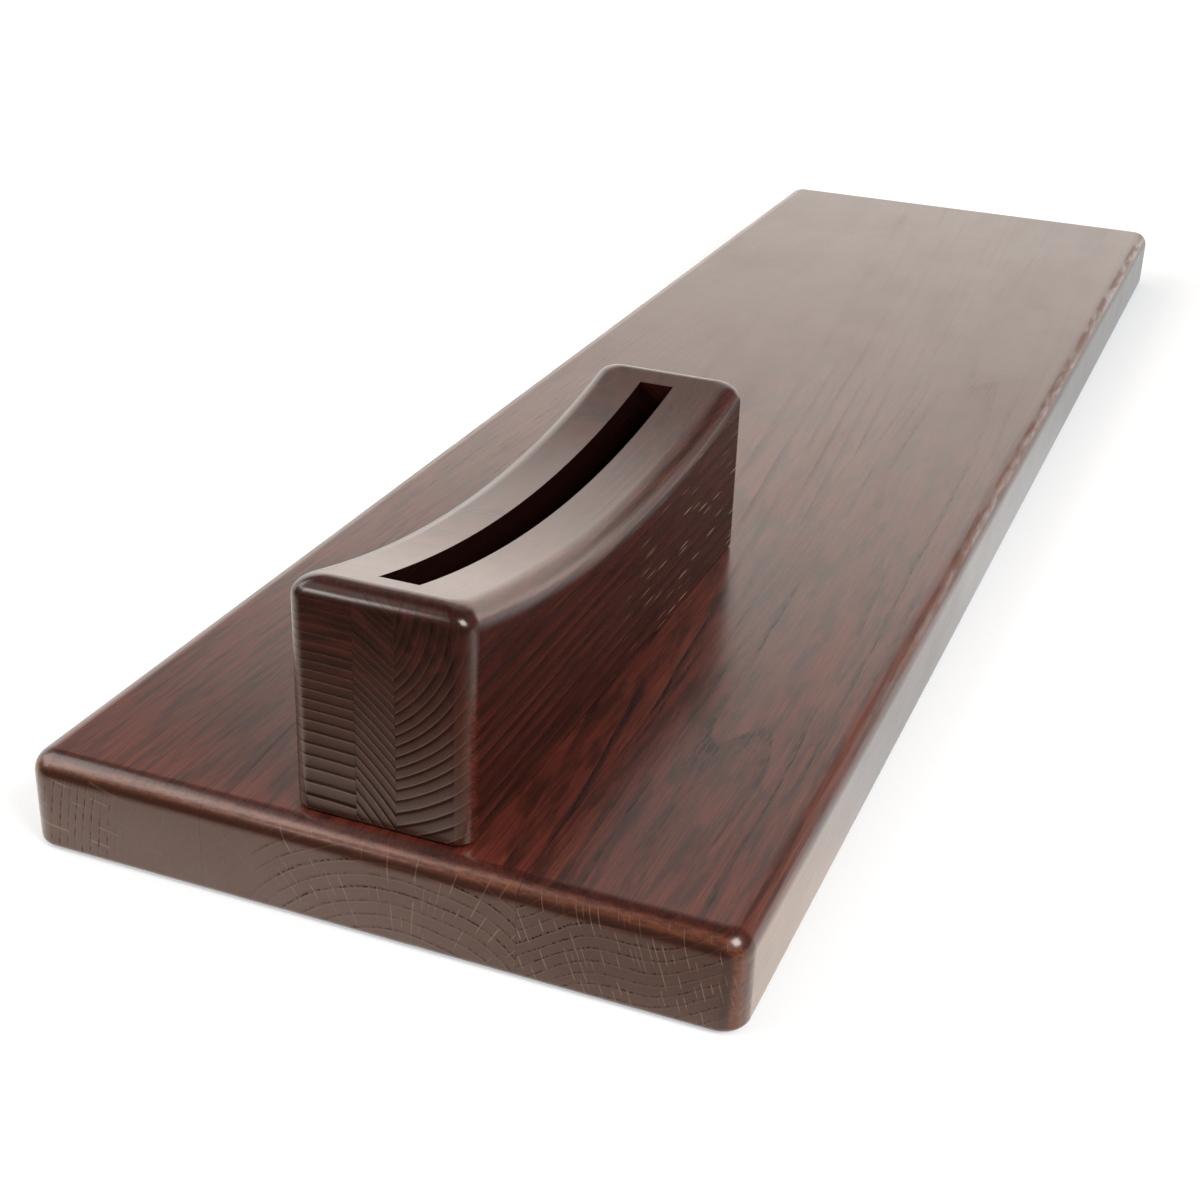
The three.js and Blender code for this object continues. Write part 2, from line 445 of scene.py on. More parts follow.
def growth_rings_group():
    """Where a point lies among the tree's growth rings, round a leaning and swollen pith."""
    tree, bench, entry, leave = new_group("Growth rings", {
        "Position": (0, 0, 0), "Pith": (0, 0, -30), "Lean": (0, 0, 0), "Ring start": 0.0,
        "Ring width": 2.5, "Crowding": 0.0, "Uneven": 0.5, "Wander": 1.0, "Wave height": 0.0,
        "Wave length": 29.0, "Wave start": 36.0, "Swell place": (0, 0, 0),
        "Swell reach": (10, 20, 10), "Swell height": 0.0, "Seed": 0.0}, ("Rings", "Around"))
    position, seed = entry["Position"], entry["Seed"]
    place = bench.separate(position)
    along = bench.minus(place["Y"], FRONT_END)
    pith = bench.vector("ADD", entry["Pith"], bench.vector("SCALE", entry["Lean"], scale=along))
    arm = bench.separate(bench.vector("SUBTRACT", position, pith))
    radius = bench.vector("LENGTH", bench.combine(arm["X"], 0.0, arm["Z"]))

    drift = bench.minus(bench.noise(bench.stretch(position, SLOW_DRIFT, seed), detail=1.0), 0.5)
    shiver = bench.minus(bench.noise(bench.stretch(position, QUICK_DRIFT, seed)), 0.5)
    wander = bench.times(entry["Wander"], bench.line(shiver, 0.25, drift))
    turn = bench.math("DIVIDE", bench.minus(place["X"], entry["Wave start"]),
                      entry["Wave length"])
    wave = bench.times(entry["Wave height"], bench.math("SINE", bench.times(turn, math.tau)))
    off_swell = bench.vector("SUBTRACT", bench.combine(place["X"], along), entry["Swell place"])
    apart = bench.vector("LENGTH", bench.vector("DIVIDE", off_swell, entry["Swell reach"]))
    swell = bench.times(entry["Swell height"], bench.fall(apart, 0.0, 1.0))
    depth = bench.plus(bench.minus(radius, entry["Ring start"]), wander)
    depth = bench.plus(bench.minus(depth, wave), swell)
    uneven = bench.minus(bench.noise(bench.combine(
        bench.times(depth, 1 / CHANGE_ACROSS), seed), detail=0.0), 0.5)
    crowded = bench.times(depth, bench.line(depth, entry["Crowding"], 1.0))
    rings = bench.math("DIVIDE", crowded, entry["Ring width"])

    angle = bench.math("ARCTAN2", arm["X"], arm["Z"])
    away = bench.vector("LENGTH", bench.vector("SUBTRACT", entry["Pith"], MID_BOARD))
    bench.feed_all(leave, Rings=bench.plus(rings, bench.times(uneven, entry["Uneven"])),
                   Around=bench.times(angle, away))
    return tree


def oak_figure_group():
    """Early wood, pores, rays and fibres of oak, from the place among the rings."""
    tree, bench, entry, leave = new_group("Oak figure", {
        "Position": (0, 0, 0), "Rings": 0.0, "Around": 0.0, "Ring width": 2.5,
        "End grain": 0.0, "Solid lines": 0.4, "Ray spacing": 2.4, "Seed": 0.0},
        ("Lines", "Pores", "Lip", "Rays", "Fibres", "Streaks", "Smears", "Ramp", "Flecks",
         "Tint"))
    position, seed, end_grain = entry["Position"], entry["Seed"], entry["End grain"]
    place = bench.separate(position)
    phase = bench.math("FRACT", entry["Rings"])
    number = bench.math("FLOOR", entry["Rings"])
    early = bench.band(phase, 0.0, 0.05, 0.07, bench.line(end_grain, -0.14, 0.48))
    along = bench.times(place["Y"], 1 / CHANGE_ALONG)
    strong = bench.smooth(
        bench.noise(bench.combine(bench.line(number, RING_STEP, seed), along,
                                  bench.times(number, RING_SIDE_STEP)), detail=1.0),
        0.38, 0.62, bench.line(end_grain, 0.35, 0.15), 1.0)

    depth = bench.times(entry["Rings"], entry["Ring width"])
    log_place = bench.combine(depth, place["Y"], entry["Around"])
    vessels = bench.cells(bench.stretch(log_place, VESSELS))
    pore_size = bench.line(early, 0.38, 0.10)
    pores = bench.fall(bench.minus(vessels, pore_size), -0.08, 0.08)
    broken = bench.line(pores, bench.rest(entry["Solid lines"]), entry["Solid lines"])
    lines = bench.most(bench.times(early, strong, broken), bench.times(pores, 0.22))
    lip = bench.times(bench.band(phase, 0.84, 0.93, 0.95, 1.0), end_grain)

    sway = bench.noise(bench.combine(
        bench.times(entry["Around"], 1 / CHANGE_ROUND), along, seed), detail=1.0)
    order = bench.plus(bench.math("DIVIDE", entry["Around"], entry["Ray spacing"]),
                       bench.times(sway, 4.0))
    off_ray = bench.magnitude(bench.minus(bench.math("FRACT", order), 0.5))
    ray = bench.fall(bench.times(off_ray, entry["Ray spacing"]), 0.02, 0.13)
    patch = bench.noise(bench.combine(
        bench.times(bench.math("FLOOR", order), RAY_STEP),
        bench.times(place["Y"], 1 / RAY_LENGTH), bench.times(depth, 1 / RAY_DEPTH)), detail=0.0)

    streaks = bench.noise(bench.stretch(position, STREAKS, seed), detail=3.0)
    smears = bench.noise(bench.stretch(log_place, SMEARS, seed), detail=3.0, roughness=0.6)
    dashes = bench.cells(bench.combine(
        bench.times(place["Y"], 1 / FLECK_LENGTH), bench.times(place["Z"], 1 / FLECK_SPACING)),
        dimensions="2D")
    tint = bench.noise(bench.stretch(log_place, TINT, seed), detail=1.0)
    bench.feed_all(
        leave, Lines=lines, Pores=pores, Lip=lip, Ramp=phase, Streaks=streaks, Smears=smears,
        Rays=bench.times(ray, bench.smooth(patch, 0.5, 0.62)),
        Fibres=bench.noise(bench.stretch(position, FIBRES), detail=3.0),
        Flecks=bench.times(bench.fall(dashes, 0.04, 0.17), bench.smooth(streaks, 0.30, 0.46)),
        Tint=bench.smooth(tint, 0.34, 0.74))
    return tree


def stain_group(oak):
    """Colour of the stain over the oak's figure, laid on share by share, with painted highlights
    and painted shade among the shares.
    """
    tree, bench, entry, leave = new_group("Oak stain", {
        "Lines": 0.0, "Lip": 0.0, "Rays": 0.0, "Fibres": 0.5, "Streaks": 0.5,
        "End grain": 0.0, "Round": 0.0, "Glue": 0.0, "Soaked": 0.0, "Shade": 0.0,
        "Warmth": 0.3, "Depth": 0.8, "Tone": 0.0, "Smears": 0.5, "Ray strength": 0.4,
        "Even": 0.0, "Flecks": 0.0, "Tint": 0.0, "Slot": 0.0}, ("Color",))
    deep, middle, warm, end, ray, worn = (
        (*colour, 1) for colour in (oak.deep, oak.middle, oak.warm, oak.end, oak.ray, oak.worn))
    blurred = tuple((a + b) / 2 for a, b in zip(middle, deep))
    end_grain = entry["End grain"]
    warm_share = bench.times(entry["Warmth"], bench.smooth(entry["Streaks"], 0.42, 0.66))
    fibre_share = bench.smooth(entry["Fibres"], 0.38, 0.66, 0.0, 0.5)
    smear_share = bench.times(bench.smooth(entry["Smears"], 0.44, 0.66),
                              bench.line(end_grain, -0.35, 0.65))
    colour = middle
    # Painted highlight: the pale line on each ring's lip. Painted shade: the shade within the
    # rings, the darkening in the slot and on the board's round flanks, the slot's near black and
    # the extra tone on the cradle's right side.
    for share, stain in (
            (warm_share, warm), (fibre_share, deep), (smear_share, deep),
            (bench.times(end_grain, 0.75), end), (entry["Shade"], deep),
            (bench.times(entry["Lip"], 0.17), ray),
            (bench.times(entry["Lines"], entry["Depth"]), deep),
            (bench.times(entry["Rays"], end_grain, entry["Ray strength"]), ray),
            (entry["Even"], blurred), (entry["Round"], worn), (entry["Tone"], deep),
            (bench.most(bench.times(entry["Glue"], 0.8), entry["Soaked"]), deep),
            (entry["Tint"], middle), (entry["Flecks"], ray),
            (bench.times(entry["Slot"], 0.3), (0, 0, 0, 1))):
        colour = bench.mix(share, colour, stain)
    bench.feed(leave["Color"], colour)
    return tree


def glue_line_group():
    """A thin dark line where two glued pieces meet, across X."""
    tree, bench, entry, leave = new_group("Glue lines", {
        "Position": (0, 0, 0), "First seam": 0.0, "Second seam": 1000.0, "Half width": 0.16},
        ("Glue",))
    across = bench.separate(entry["Position"])["X"]
    gaps = [bench.magnitude(bench.minus(across, entry[name]))
            for name in ("First seam", "Second seam")]
    gap = bench.math("MINIMUM", *gaps)
    bench.feed(leave["Glue"], bench.fall(gap, 0.0, entry["Half width"]))
    return tree


def darkening_group(cradle):
    """Painted shade inside the slot, and darker towards the top of the cradle's ends."""
    tree, bench, entry, leave = new_group(
        "Soaked stain", {"Position": (0, 0, 0)}, ("Slot", "Soaked"))
    place = bench.separate(entry["Position"])
    middle = (SLOT_LEFT + SLOT_RIGHT) / 2 / MM
    half = (SLOT_RIGHT - SLOT_LEFT) / 2 / MM
    end_wall = cradle.slot_end_wall / MM
    under_floor = (BOARD_HIGH.z + cradle.slot_floor) / MM - 1
    across = bench.magnitude(bench.minus(place["X"], middle))
    from_end = bench.math("MINIMUM", bench.minus(place["Y"], CRADLE_LOW.y / MM),
                          bench.minus(CRADLE_HIGH.y / MM, place["Y"]))
    inside = bench.times(
        bench.fall(across, half, half + 0.06),
        bench.smooth(from_end, end_wall - 0.2, end_wall - 0.05),
        bench.math("GREATER_THAN", place["Z"], under_floor))
    upper = bench.times(bench.fall(from_end, 1.5, 5.5), bench.smooth(place["Z"], 38.0, 64.0))
    bench.feed_all(leave, Slot=inside, Soaked=bench.most(inside, bench.times(upper, 0.75)))
    return tree


def varnish_group():
    """Roughness and weight of the satin varnish, and the height its surface follows."""
    tree, bench, entry, leave = new_group("Satin varnish", {
        "Position": (0, 0, 0), "Lines": 0.0, "Pores": 0.0, "Lip": 0.0, "Fibres": 0.5,
        "End grain": 0.0, "Round": 0.0, "Relief": 1.0, "Gloss": 0.3, "Film": 1.0,
        "Shade": 0.0}, ("Roughness", "Coat", "Height"))
    position, lines, end_grain = entry["Position"], entry["Lines"], entry["End grain"]
    cloud = bench.minus(bench.noise(bench.stretch(position, CLOUDS), detail=3.0), 0.5)
    rough = bench.line(lines, 0.25, bench.line(cloud, 0.12, entry["Gloss"]))
    dry = bench.math("ADD", bench.times(lines, bench.line(end_grain, 0.90, 0.10)),
                     bench.times(entry["Shade"], end_grain), clamp=True)
    thin = bench.smooth(bench.noise(bench.stretch(position, THIN_FILM), detail=3.0),
                        0.4, 0.7, 0.0, 0.09)

    pits = bench.times(entry["Pores"], -0.02)
    groove = bench.times(lines, entry["Relief"], bench.line(end_grain, -0.11, -0.01))
    lip = bench.times(entry["Lip"], entry["Relief"], 0.025)
    threads = bench.times(entry["Fibres"], 0.008)
    brush = bench.times(bench.noise(bench.stretch(position, BRUSH_MARKS), detail=1.5),
                        bench.line(entry["Round"], 0.42, 0.006))
    bench.feed_all(
        leave, Roughness=bench.math("MINIMUM", rough, 0.9),
        Coat=bench.line(dry, -0.95, bench.minus(entry["Film"], thin)),
        Height=bench.plus(pits, groove, lip, threads, brush))
    return tree


# How each piece of oak was sawn, in millimetres: where the pith lies at the front end, how it
# leans for each millimetre towards the rear, and how the growth rings run round it. "plain"
# says between which places across X the front loses its figure

BOARD_OAK = {"relief": 0.3, "gloss": 0.30}
CRADLE_OAK = {"solid_lines": 0.85, "solid_ends": 0.85, "depth": 0.8, "relief": 1.0,
              "gloss": 0.22, "tone": 0.2, "ray_spacing": 4.0, "ray_strength": 0.0,
              "side_lines": 0.35}
OAK_PIECES = {
    "stave_left": {
        **BOARD_OAK, "warmth": 0.4, "solid_lines": 0.2, "solid_ends": 0.1, "depth": 0.3,
        "tone": 0.0, "ray_spacing": 1.6, "ray_strength": 0.35, "side_lines": 0.8,
        "plain": (-58.0, -48.0),
        "rings": {"pith": (40, 0, -8), "lean": (0.02, 0, -0.01), "ring_width": 1.8,
                  "wander": 1.6, "seed": 3.1}},
    "stave_middle": {
        **BOARD_OAK, "warmth": 0.6, "solid_lines": 0.8, "solid_ends": 0.2, "depth": 1.0,
        "tone": 0.0, "ray_spacing": 2.2, "ray_strength": 0.45, "side_lines": 1.0,
        "plain": (-12.0, -26.0),
        "rings": {"pith": (8, 0, -22), "lean": (-0.08, 0, -0.004), "ring_start": 36.4,
                  "ring_width": 2.8, "uneven": 0.1, "wander": 1.2, "swell_place": (25, 10, 0),
                  "swell_reach": (12, 90, 10), "swell_height": -1.0, "seed": 7.7}},
    "stave_right": {
        **BOARD_OAK, "warmth": 0.4, "solid_lines": 0.45, "solid_ends": 0.1, "depth": 1.0,
        "tone": 0.1, "ray_spacing": 1.3, "ray_strength": 0.6, "side_lines": 0.1,
        "rings": {"pith": (150, 0, -290), "lean": (0.0, 0, 0.02), "ring_start": 332.0,
                  "ring_width": 2.4, "uneven": 0.3, "wander": 2.6, "wave_height": 1.6,
                  "swell_place": (54, 50, 0), "swell_reach": (14, 34, 10),
                  "swell_height": 1.2, "seed": 1.4}},
    "ply_left": {
        **CRADLE_OAK, "warmth": 0.4,
        "rings": {"pith": (-13, 0, -120), "lean": (0.0, 0, 0.02), "ring_start": 140.0,
                  "ring_width": 3.4, "crowding": 0.0134, "uneven": 0.3, "wander": 1.0,
                  "seed": 5.2}},
    "ply_core": {
        **CRADLE_OAK, "warmth": 0.6,
        "rings": {"pith": (-60, 0, -28), "lean": (0.0, 0, 0.02), "ring_start": 77.0,
                  "ring_width": 1.8, "crowding": 0.006, "uneven": 0.3, "wander": 0.8,
                  "seed": 9.9}},
    "ply_right": {
        **CRADLE_OAK, "warmth": 0.5,
        "rings": {"pith": (-12, 0, 66), "lean": (0.0, 0, 0.02), "ring_start": 50.0,
                  "ring_width": 2.6, "crowding": -0.011, "uneven": 0.3, "wander": 1.0,
                  "seed": 2.6}},
}


@cache
def oak_groups():
    """The node groups that every oak material shares, made when the first piece needs them."""
    stand = bpy.context.scene.stand
    return SimpleNamespace(
        rings=growth_rings_group(), figure=oak_figure_group(), stain=stain_group(stand.oak),
        glue=glue_line_group(), darkening=darkening_group(stand.cradle), varnish=varnish_group())


class OakSurface:
    """The material of one oak piece, and where its points lie and face."""

    def __init__(self, name):
        self.material, bench = new_material("oak_" + name)
        self.bench = bench
        self.sawn = OAK_PIECES[name]
        self.in_cradle = 1.0 if name.startswith("ply") else 0.0
        self.on_board = 1.0 - self.in_cradle
        self.position = bench.millimetres()
        self.place = bench.separate(self.position)
        normal = bench.separate(bench.node("ShaderNodeNewGeometry").outputs["Normal"])
        self.to_end = bench.magnitude(normal["Y"])
        self.to_side = bench.magnitude(normal["X"])
        self.end_grain = bench.smooth(self.to_end, 0.5, 0.9)
        self.rounded = bench.band(self.to_end, 0.04, 0.16, 0.96, 0.995)
        self.crown = bench.band(self.to_end, 0.42, 0.62, 0.80, 0.93)
        self.flat_top = bench.smooth(normal["Z"], 0.5, 0.9)
        self.right_side = bench.smooth(normal["X"], 0.9, 0.99, 0.0, self.in_cradle)
        self.even = bench.smooth(self.place["Y"], -140.0, 110.0, 0.0, 0.82 * self.on_board)
        self.varied = bench.rest(self.even)


def oak_figure(oak):
    """The growth rings, pores, rays and fibres of one piece."""
    bench, sawn = oak.bench, oak.sawn
    rings = bench.group(
        oak_groups().rings, Position=oak.position,
        **{key.capitalize(): value for key, value in sawn["rings"].items()})
    solid = bench.line(oak.end_grain, sawn["solid_ends"] - sawn["solid_lines"],
                       sawn["solid_lines"])
    return bench.group(
        oak_groups().figure, Position=oak.position, Rings=rings["Rings"],
        Around=rings["Around"], Ring_width=sawn["rings"]["ring_width"],
        End_grain=oak.end_grain, Solid_lines=solid, Ray_spacing=sawn["ray_spacing"],
        Seed=sawn["rings"]["seed"])


def figured_share(oak):
    """How much of the figure a front shows, where the saw left a part of it plain."""
    if "plain" not in oak.sawn:
        return 1.0
    bench = oak.bench
    return bench.most(bench.smooth(oak.place["X"], *oak.sawn["plain"], 1.0, 0.12),
                      bench.rest(oak.end_grain))


def early_wood(oak, figure, figured):
    """The dark lines: full on the ends, weaker on sides and rounds, even towards the rear."""
    bench, side_lines = oak.bench, oak.sawn["side_lines"]
    top_lines = 0.18 if oak.in_cradle else 1.0
    level = bench.line(oak.flat_top, top_lines - side_lines, side_lines)
    share = bench.plus(oak.end_grain, bench.times(level, bench.rest(oak.end_grain)))
    return bench.times(figure["Lines"], share, bench.line(oak.rounded, -0.75, 1.0), figured,
                       oak.varied)


def pale_flecks(oak, figure):
    """Short pale dashes on the cradle's right side, towards its rear and below its top."""
    bench, right = oak.bench, CRADLE_HIGH.x / MM
    return bench.times(
        figure["Flecks"], bench.smooth(oak.place["Y"], -190.0, -125.0),
        bench.smooth(oak.place["Z"], 42.0, 58.0, 0.8, 0.0), oak.right_side,
        bench.smooth(oak.place["X"], right - 3, right - 2))


def sanded_share(oak):
    """Thin, mottled stain on the crown of the board's front and rear rounds."""
    bench = oak.bench
    mottle = bench.noise(bench.stretch(oak.position, MOTTLE), detail=3.0, roughness=0.65)
    return bench.times(oak.crown, 0.65 * oak.on_board, bench.smooth(mottle, 0.32, 0.66))


def rubbed_share(oak):
    """Broken wear on the board's long arrises, more of it away from the front."""
    bench = oak.bench
    grit = bench.noise(bench.stretch(oak.position, GRIT), detail=3.0, roughness=0.6)
    return bench.times(
        bench.band(oak.to_side, 0.25, 0.5, 0.75, 0.95), oak.on_board,
        bench.smooth(grit, 0.36, 0.60), bench.smooth(oak.place["Y"], -230.0, -60.0, 0.25, 1.0))


def film_share(oak, slot, rubbed):
    """Weight of the varnish film, thinner in the slot, on the cradle's side and on its rounds."""
    bench = oak.bench
    dull = bench.times(bench.band(oak.to_end, 0.3, 0.5, 0.72, 0.86),
                       bench.smooth(oak.to_side, 0.1, 0.3, oak.in_cradle, 0.0))
    rim = bench.times(bench.band(oak.to_side, 0.2, 0.45, 0.9, 0.99), 0.3 * oak.in_cradle)
    thinned = bench.most(slot, bench.times(oak.right_side, 1.15), rim, dull, rubbed)
    return bench.line(thinned, -0.75, 1.0)


def oak_material(name, left_seam, right_seam):
    """Stained and varnished oak, cut from its own place in a log."""
    oak = OakSurface(name)
    bench, sawn, groups = oak.bench, oak.sawn, oak_groups()
    figure = oak_figure(oak)
    figured = figured_share(oak)
    lines = early_wood(oak, figure, figured)
    rubbed = rubbed_share(oak)
    glue = bench.group(groups.glue, Position=oak.position, First_seam=left_seam / MM,
                       Second_seam=right_seam / MM)
    darkening = bench.group(groups.darkening, Position=oak.position)
    # Painted shade on the flanks of the board's rounds, on each side of the crown.
    painted_flank_shade = bench.times(bench.math("SUBTRACT", oak.rounded, oak.crown, clamp=True),
                              0.5 * oak.on_board)
    # Painted shade: on the cradle, each ring is darkest just past its early wood and lightest at
    # its lip, as if its ridges were shaded; a fifth as much on the rounds, none on the board.
    shade = bench.times(bench.rest(figure["Ramp"]), bench.line(
        oak.rounded, -0.6 * oak.in_cradle, 0.75 * oak.in_cradle))
    # Painted shade darkens the cradle's right side beyond its piece's own tone; the cradle's
    # hollow top is darker towards its rear.
    rear_top = bench.smooth(oak.place["Y"], -165.0, -115.0, 0.0, 0.35 * oak.in_cradle)
    tone = bench.plus(bench.line(oak.right_side, 0.28, sawn["tone"]),
                      bench.times(oak.flat_top, rear_top))
    lower_end = bench.smooth(oak.place["Z"], 34.0, 56.0, 0.0, 0.3 * oak.in_cradle)
    # In this stain, the pale line along each ring's lip is a painted highlight, and the shade
    # within the rings, on the board's round flanks, inside the slot and on the cradle's right
    # side is painted shade.
    colour = bench.group(
        groups.stain, Lines=lines, Rays=bench.times(figure["Rays"], figured),
        Lip=bench.times(figure["Lip"], figured, 0.6 + 0.4 * oak.in_cradle),
        Fibres=figure["Fibres"], Streaks=figure["Streaks"], Smears=figure["Smears"],
        End_grain=oak.end_grain, Shade=shade, Glue=glue["Glue"], Slot=darkening["Slot"],
        Round=bench.most(sanded_share(oak), bench.times(rubbed, 0.4)),
        Soaked=bench.most(painted_flank_shade, bench.times(darkening["Soaked"], oak.in_cradle)),
        Warmth=sawn["warmth"], Depth=sawn["depth"], Ray_strength=sawn["ray_strength"],
        Tint=bench.times(figure["Tint"], oak.end_grain, lower_end), Tone=tone, Even=oak.even,
        Flecks=pale_flecks(oak, figure))
    relief = bench.smooth(oak.place["Z"], 40.0, 60.0, sawn["relief"], 0.45 * sawn["relief"])
    varnish = bench.group(
        groups.varnish, Position=oak.position, Lines=lines, Lip=figure["Lip"],
        Pores=bench.times(figure["Pores"], oak.varied), Fibres=figure["Fibres"],
        End_grain=oak.end_grain, Round=bench.times(oak.rounded, oak.on_board),
        Relief=bench.times(bench.rest(darkening["Slot"]), relief), Gloss=sawn["gloss"],
        Film=film_share(oak, darkening["Slot"], rubbed), Shade=shade)
    bump = bench.node("ShaderNodeBump")
    bench.feed_all(bump.inputs, Distance=MM, Strength=1.0, Height=varnish["Height"])
    shader = bench.node("ShaderNodeBsdfPrincipled")
    shader.inputs["IOR"].default_value = 1.5
    shader.inputs["Specular IOR Level"].default_value = 0.1
    shader.inputs["Coat IOR"].default_value = 1.7
    shader.inputs["Coat Roughness"].default_value = 0.24
    bench.feed_all(shader.inputs, Base_Color=colour["Color"], Coat_Weight=varnish["Coat"],
                   Roughness=varnish["Roughness"], Normal=bump.outputs["Normal"])
    bench.finish(shader)
    return oak.material


def screw_material():
    """Yellow zinc-plated steel with faint rainbow patches and fine scratches."""
    material, bench = new_material("yellow_zinc_steel")
    position = bench.millimetres()
    plating = bench.noise(bench.vector("SCALE", position, scale=1 / 2.2), detail=3.0)
    colour = bench.mix(bench.smooth(plating, 0.35, 0.65),
                       ZINC_YELLOW, ZINC_GREY)
    scratches = bench.noise(bench.vector("MULTIPLY", position, (6.0, 6.0, 0.6)))
    shader = bench.node("ShaderNodeBsdfPrincipled")
    shader.inputs["Metallic"].default_value = 1.0
    bench.feed_all(shader.inputs, Base_Color=colour,
                   Roughness=bench.smooth(scratches, 0.2, 0.8, 0.24, 0.42))
    bench.finish(shader)
    return material


# Modelling helpers


def deselect_all():
    if bpy.context.object and bpy.context.object.mode != "OBJECT":
        bpy.ops.object.mode_set(mode="OBJECT")
    bpy.ops.object.select_all(action="DESELECT")


def make_active(piece):
    deselect_all()
    piece.select_set(True)
    bpy.context.view_layer.objects.active = piece


def start_edit(piece):
    make_active(piece)
    bpy.ops.object.mode_set(mode="EDIT")


def end_edit():
    bpy.ops.object.mode_set(mode="OBJECT")


def choose(kind, test):
    """Selects only the vertices, edges or faces of the edited mesh that pass a test."""
    mesh = bpy.context.object.data
    bpy.ops.mesh.select_mode(type=kind)
    bpy.ops.mesh.select_all(action="DESELECT")
    form = bmesh.from_edit_mesh(mesh)
    items = {"VERT": form.verts, "EDGE": form.edges, "FACE": form.faces}[kind]
    count = 0
    for item in items:
        if test(item):
            item.select_set(True)
            count += 1
    form.select_flush_mode()
    bmesh.update_edit_mesh(mesh)
    if not count:
        raise RuntimeError(f"nothing to select on {bpy.context.object.name}")


def close_to(first, second):
    return abs(first - second) < HAIR


def apply_modifier(piece, kind, **settings):
    make_active(piece)
    modifier = piece.modifiers.new(kind.lower(), kind)
    for name, value in settings.items():
        setattr(modifier, name, value)
    if "FINISHED" not in bpy.ops.object.modifier_apply(modifier=modifier.name):
        raise RuntimeError(f"{kind} failed on {piece.name}")


def cut_with(piece, cutter):
    """Takes the cutter's shape out of a piece, and deletes the cutter."""
    apply_modifier(piece, "BOOLEAN", operation="DIFFERENCE", solver="EXACT", object=cutter)
    delete_piece(cutter)


def copy_of(piece, name):
    """A copy of a piece with its own mesh."""
    make_active(piece)
    bpy.ops.object.duplicate()
    made = bpy.context.object
    made.name = name
    made.data.name = name
    return made


def saw_apart(blank, name, left, right):
    """The part of a blank between two upright planes, as its own closed piece."""
    made = copy_of(blank, name)
    low, high = box_of(made)
    for place, is_left in ((left, True), (right, False)):
        if low.x < place < high.x:
            start_edit(made)
            bpy.ops.mesh.select_all(action="SELECT")
            bpy.ops.mesh.bisect(
                plane_co=(place, 0, 0), plane_no=(1, 0, 0), use_fill=True,
                clear_inner=is_left, clear_outer=not is_left)
            end_edit()
    return made


def box_of(piece):
    corners = [vertex.co for vertex in piece.data.vertices]
    low = Vector([min(corner[axis] for corner in corners) for axis in range(3)])
    high = Vector([max(corner[axis] for corner in corners) for axis in range(3)])
    return low, high


def settle(piece):
    """Puts a piece's place into its mesh, so that its object sits at the origin."""
    make_active(piece)
    bpy.ops.object.transform_apply(location=True, rotation=True, scale=True)


def block(name, low, high):
    """A plain box between two corners."""
    deselect_all()
    bpy.ops.mesh.primitive_cube_add(size=1, location=(low + high) / 2)
    made = bpy.context.object
    made.name = name
    made.scale = high - low
    settle(made)
    return made


def finish_piece(piece, node, material):
    """Smooths a piece, dresses it and lets it stand for its node of the frame."""
    settle(piece)
    bpy.ops.object.shade_smooth_by_angle(angle=SMOOTH_ANGLE)
    apply_modifier(piece, "WEIGHTED_NORMAL", mode="FACE_AREA", weight=50, keep_sharp=True)
    piece.data.materials.clear()
    piece.data.materials.append(material)
    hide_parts(node)
    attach(piece, "root")


def delete_piece(piece):
    make_active(piece)
    bpy.ops.object.delete()


# The board


def board_blank(sizes, facets):
    """One slab with rounded top edges and corners."""
    blank = block("board_blank", BOARD_LOW, BOARD_HIGH)
    start_edit(blank)
    choose("EDGE", lambda edge: close_to(edge.verts[0].co.x, edge.verts[1].co.x)
           and close_to(edge.verts[0].co.y, edge.verts[1].co.y))
    bpy.ops.mesh.bevel(offset=sizes.corner_radius, segments=facets, profile=0.5)
    for height, radius, steps in ((BOARD_HIGH.z, sizes.top_round, facets),
                                  (BOARD_LOW.z, sizes.bottom_ease, facets // 3)):
        choose("EDGE", lambda edge: all(close_to(end.co.z, height) for end in edge.verts)
               and any(abs(face.normal.z) < 0.5 for face in edge.link_faces))
        bpy.ops.mesh.bevel(offset=radius, segments=steps, profile=0.5)
    end_edit()
    return blank


# The cradle


def hollow_rise(sizes, y):
    """How far the arc that hollows the top has risen at a place along the cradle."""
    from_low = y - CRADLE_LOW.y - sizes.low_from_front
    return sizes.hollow_radius - math.sqrt(sizes.hollow_radius ** 2 - from_low ** 2)


def cradle_outline(sizes, facets, half, middle):
    """The cradle's rounded outline, lying flat on the board as one face."""
    deselect_all()
    bpy.ops.mesh.primitive_plane_add(size=1, location=(middle.x, middle.y, BOARD_HIGH.z))
    blank = bpy.context.object
    blank.name = "cradle_blank"
    blank.scale = (2 * half.x, 2 * half.y, 1)
    settle(blank)
    start_edit(blank)
    bpy.ops.mesh.select_mode(type="VERT")
    bpy.ops.mesh.select_all(action="SELECT")
    bpy.ops.mesh.bevel(
        offset=sizes.corner_radius, segments=facets, profile=0.5, affect="VERTICES")
    return blank


def raise_ring(height, inset, last, half, middle):
    """Extrudes the selected top face up to a height and draws it in to an inset."""
    last_height, last_inset = last
    if height > last_height:
        bpy.ops.mesh.extrude_region_move(
            TRANSFORM_OT_translate={"value": (0, 0, height - last_height)})
    shrink = [(side - inset) / (side - last_inset) for side in (half.x, half.y)]
    bpy.ops.transform.resize(
        value=(*shrink, 1), center_override=(middle.x, middle.y, height))
    return height, inset


